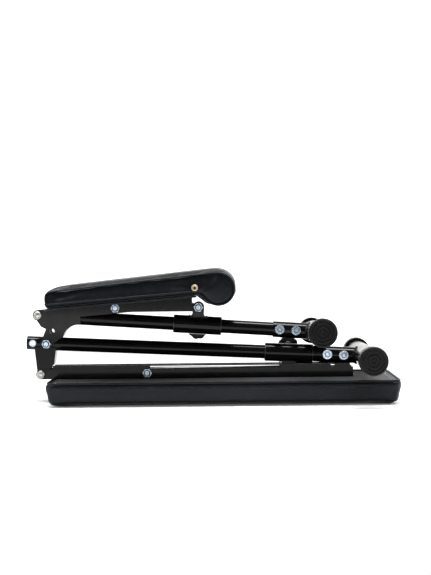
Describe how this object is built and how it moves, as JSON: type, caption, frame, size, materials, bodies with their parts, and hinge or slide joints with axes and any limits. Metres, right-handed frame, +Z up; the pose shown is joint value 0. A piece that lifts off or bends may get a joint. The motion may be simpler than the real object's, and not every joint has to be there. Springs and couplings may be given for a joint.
{
  "type": "adjustable weight bench",
  "caption": "Folding adjustable weight bench: padded backrest and roll-front seat on crossed tube legs with sliding pull-pin sleeves, folded flat.",
  "frame": {"origin": "middle of the bounding box on the resting face, which is the outer face of the backrest pad", "axes": "+X along the folded bench from the hinges to the feet, +Z up away from the resting face, Y across the bench with both pull knobs on +Y"},
  "size_m": [0.8047, 0.4222, 0.287],
  "materials": {
    "pad_vinyl": "satin black upholstery vinyl",
    "pad_board": "board under a smooth black dust cover",
    "black_paint": "gloss black powder coat",
    "zinc_steel": "blue-white zinc plating",
    "hinge_bolt_steel": "bright nickel",
    "spring_steel": "drawn spring wire",
    "spacer_steel": "zinc-plated tube",
    "nylon": "black nylon",
    "cap_rubber": "moulded matt rubber",
    "knob_plastic": "fine-grained black plastic",
    "eyelet_brass": "pale brass"
  },
  "bodies": {
    "backrest": {"backrest_cushion": "pad_vinyl", "backrest_board": "pad_board", "backrest_channel": "black_paint", "backrest_inner_channel": "black_paint", "backrest_pad_screws": "zinc_steel", "backrest_hinge_bolt": "hinge_bolt_steel", "back_link_bolt": "zinc_steel", "back_link_spacers": "spacer_steel"},
    "rear_leg": {"rear_leg_tube": "black_paint", "rear_leg_bracket": "black_paint", "leg_pivot_bushing": "nylon", "lock_hole_bushing": "spacer_steel", "rear_leg_socket": "black_paint", "rear_foot_tube": "black_paint", "rear_foot_caps": "cap_rubber", "rear_socket_bolts": "zinc_steel"},
    "front_leg": {"front_leg_tube": "black_paint", "leg_gusset": "black_paint", "leg_pivot_bolt": "zinc_steel", "seat_hinge_bolt": "hinge_bolt_steel", "front_leg_socket": "black_paint", "front_foot_tube": "black_paint", "front_foot_caps": "cap_rubber", "front_socket_bolts": "zinc_steel"},
    "seat": {"seat_cushion": "pad_vinyl", "seat_board": "pad_board", "seat_channel": "black_paint", "seat_pad_screws": "zinc_steel", "seat_link_bolt": "zinc_steel", "seat_link_spacers": "spacer_steel", "seat_eyelet": "eyelet_brass"},
    "back_link": {"back_link_bar": "black_paint"},
    "seat_link": {"seat_link_bar": "black_paint"},
    "rear_sleeve": {"rear_sleeve_tube": "black_paint", "rear_guide_rings": "nylon", "rear_sleeve_clevis": "black_paint", "rear_clevis_pin": "zinc_steel", "rear_pin_barrel": "black_paint", "rear_pin_spring": "spring_steel"},
    "front_sleeve": {"front_sleeve_tube": "black_paint", "front_guide_rings": "nylon", "front_sleeve_clevis": "black_paint", "front_clevis_bolt": "zinc_steel", "front_pin_barrel": "black_paint", "front_pin_spring": "spring_steel"},
    "rear_knob": {"rear_pull_knob": "knob_plastic", "rear_lock_pin": "zinc_steel"},
    "front_knob": {"front_pull_knob": "knob_plastic", "front_lock_pin": "zinc_steel"}
  },
  "joints": [
    {"name": "back_adjust", "type": "hinge", "parent": "backrest", "child": "rear_leg", "pos_m": [-0.37, 0, 0.061], "axis": [0, -1, 0], "range_deg": [0, 50]},
    {"name": "leg_fold", "type": "hinge", "parent": "rear_leg", "child": "front_leg", "pos_m": [-0.3576, 0, 0.1272], "axis": [0, -1, 0], "range_deg": [0, 111]},
    {"name": "seat_adjust", "type": "hinge", "parent": "front_leg", "child": "seat", "pos_m": [-0.3756, 0, 0.1901], "axis": [0, -1, 0], "range_deg": [0, 38]},
    {"name": "back_link_swing", "type": "hinge", "parent": "backrest", "child": "back_link", "pos_m": [-0.138, 0, 0.062], "axis": [0, -1, 0], "range_deg": [0, 87.59]},
    {"name": "rear_clevis_swing", "type": "hinge", "parent": "back_link", "child": "rear_sleeve", "pos_m": [0.16904, 0, 0.06536], "axis": [0, -1, 0], "range_deg": [-37.59, 0]},
    {"name": "seat_link_swing", "type": "hinge", "parent": "seat", "child": "seat_link", "pos_m": [-0.20595, 0, 0.20375], "axis": [0, -1, 0], "range_deg": [-71.08, 0]},
    {"name": "front_clevis_swing", "type": "hinge", "parent": "seat_link", "child": "front_sleeve", "pos_m": [-0.02551, 0, 0.20363], "axis": [0, -1, 0], "range_deg": [0, 33.08]},
    {"name": "front_knob_pull", "type": "slide", "parent": "front_sleeve", "child": "front_knob", "axis": [-0.0162, 0.9703, -0.2414], "range_m": [0, 0.008], "stiffness_N_per_m": 300, "springref_m": -0.01},
    {"name": "rear_knob_pull", "type": "slide", "parent": "rear_sleeve", "child": "rear_knob", "axis": [0.0116, 0.9703, 0.2416], "range_m": [0, 0.008], "stiffness_N_per_m": 300, "springref_m": -0.01}
  ],
  "couplings": [
    {"joint": "back_link_swing", "follows": "back_adjust", "ratio": 1.7515},
    {"joint": "rear_clevis_swing", "follows": "back_adjust", "ratio": -0.7515},
    {"joint": "seat_link_swing", "follows": "seat_adjust", "ratio": -1.87},
    {"joint": "front_clevis_swing", "follows": "seat_adjust", "ratio": 0.87}
  ]
}
